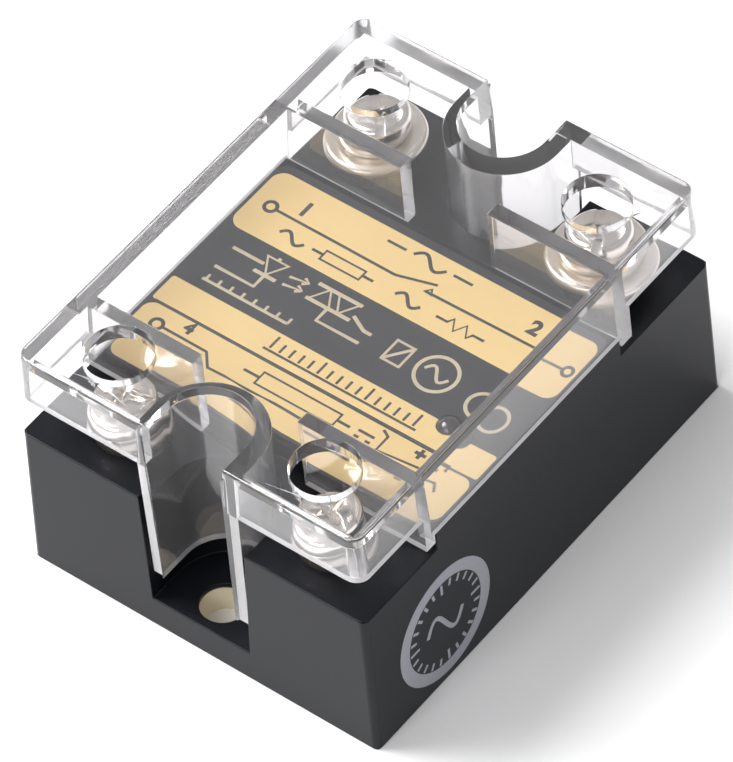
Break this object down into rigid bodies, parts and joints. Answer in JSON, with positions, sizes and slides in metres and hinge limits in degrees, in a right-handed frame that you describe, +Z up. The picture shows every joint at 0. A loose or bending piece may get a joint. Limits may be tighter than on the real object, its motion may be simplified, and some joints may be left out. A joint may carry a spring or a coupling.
{
  "type": "panel mount solid state relay",
  "caption": "Panel mount solid state relay: drafted black housing with end notches, screw terminals on both shelves, printed label and a clear lift-off cover.",
  "frame": {"origin": "middle of the underside, where the relay stands on its heat sink", "axes": "+Z up out of the mounting surface, +Y from the input end to the output end, +X the way the label reads"},
  "size_m": [0.0444, 0.058, 0.031],
  "materials": {
    "black_plastic": "satin moulded",
    "aluminium_plate": "milled",
    "clear_plastic": "clear polished",
    "label_print": "printed film",
    "lens": "dark translucent",
    "alumina": "ceramic",
    "silicon_package": "moulded",
    "copper": "bare copper",
    "board_laminate": "solder mask",
    "component_body": "moulded",
    "capacitor_case": "moulded",
    "resistor_body": "lacquered",
    "resin": "cured resin",
    "insert_metal": "nickel plated",
    "nickel_steel": "nickel plated"
  },
  "bodies": {
    "relay_body": {"housing": "black_plastic", "base_plate": "aluminium_plate", "label": "label_print", "led_indicator": "lens", "ceramic_insulator": "alumina", "thyristor_1": "silicon_package", "thyristor_2": "silicon_package", "gate_pin_1": "copper", "gate_pin_2": "copper", "thyristor_link": "copper", "circuit_board": "board_laminate", "output_strap_1": "copper", "output_strap_2": "copper", "input_lead_1": "copper", "input_lead_2": "copper", "optocoupler": "component_body", "snubber_capacitor": "capacitor_case", "input_transistor": "component_body", "snubber_resistor": "resistor_body", "input_resistor": "resistor_body", "protection_diode": "component_body", "gate_resistor_1": "resistor_body", "gate_resistor_2": "resistor_body", "potting_resin": "resin", "terminal_insert_1": "insert_metal", "terminal_insert_2": "insert_metal", "terminal_insert_3": "insert_metal", "terminal_insert_4": "insert_metal"},
    "cover": {"clear_cover": "clear_plastic"},
    "clamp_1": {"clamp_washer_1": "nickel_steel", "spring_washer_1": "nickel_steel"},
    "screw_1": {"terminal_screw_1": "nickel_steel"},
    "clamp_2": {"clamp_washer_2": "nickel_steel", "spring_washer_2": "nickel_steel"},
    "screw_2": {"terminal_screw_2": "nickel_steel"},
    "clamp_3": {"clamp_washer_3": "nickel_steel", "spring_washer_3": "nickel_steel"},
    "screw_3": {"terminal_screw_3": "nickel_steel"},
    "clamp_4": {"clamp_washer_4": "nickel_steel", "spring_washer_4": "nickel_steel"},
    "screw_4": {"terminal_screw_4": "nickel_steel"}
  },
  "joints": [
    {"name": "cover_lift", "type": "slide", "parent": "relay_body", "child": "cover", "axis": [0, 0, 1], "range_m": [0, 0.025]},
    {"name": "clamp_1_rise", "type": "slide", "parent": "relay_body", "child": "clamp_1", "axis": [0, 0, 1], "range_m": [0, 0.0021]},
    {"name": "screw_1_turn", "type": "hinge", "parent": "clamp_1", "child": "screw_1", "pos_m": [-0.01405, 0.0206, 0.0223], "axis": [0, 0, 1], "range_deg": [0, 1085]},
    {"name": "clamp_2_rise", "type": "slide", "parent": "relay_body", "child": "clamp_2", "axis": [0, 0, 1], "range_m": [0, 0.0021]},
    {"name": "screw_2_turn", "type": "hinge", "parent": "clamp_2", "child": "screw_2", "pos_m": [0.01405, 0.0206, 0.0223], "axis": [0, 0, 1], "range_deg": [0, 1085]},
    {"name": "clamp_3_rise", "type": "slide", "parent": "relay_body", "child": "clamp_3", "axis": [0, 0, 1], "range_m": [0, 0.0021]},
    {"name": "screw_3_turn", "type": "hinge", "parent": "clamp_3", "child": "screw_3", "pos_m": [0.0129, -0.0222, 0.02025], "axis": [0, 0, 1], "range_deg": [0, 1085]},
    {"name": "clamp_4_rise", "type": "slide", "parent": "relay_body", "child": "clamp_4", "axis": [0, 0, 1], "range_m": [0, 0.0021]},
    {"name": "screw_4_turn", "type": "hinge", "parent": "clamp_4", "child": "screw_4", "pos_m": [-0.0129, -0.0222, 0.02025], "axis": [0, 0, 1], "range_deg": [0, 1085]}
  ],
  "couplings": [
    {"joint": "screw_1_turn", "follows": "clamp_1_rise", "rad_per_m": 8976},
    {"joint": "screw_2_turn", "follows": "clamp_2_rise", "rad_per_m": 8976},
    {"joint": "screw_3_turn", "follows": "clamp_3_rise", "rad_per_m": 8976},
    {"joint": "screw_4_turn", "follows": "clamp_4_rise", "rad_per_m": 8976}
  ]
}
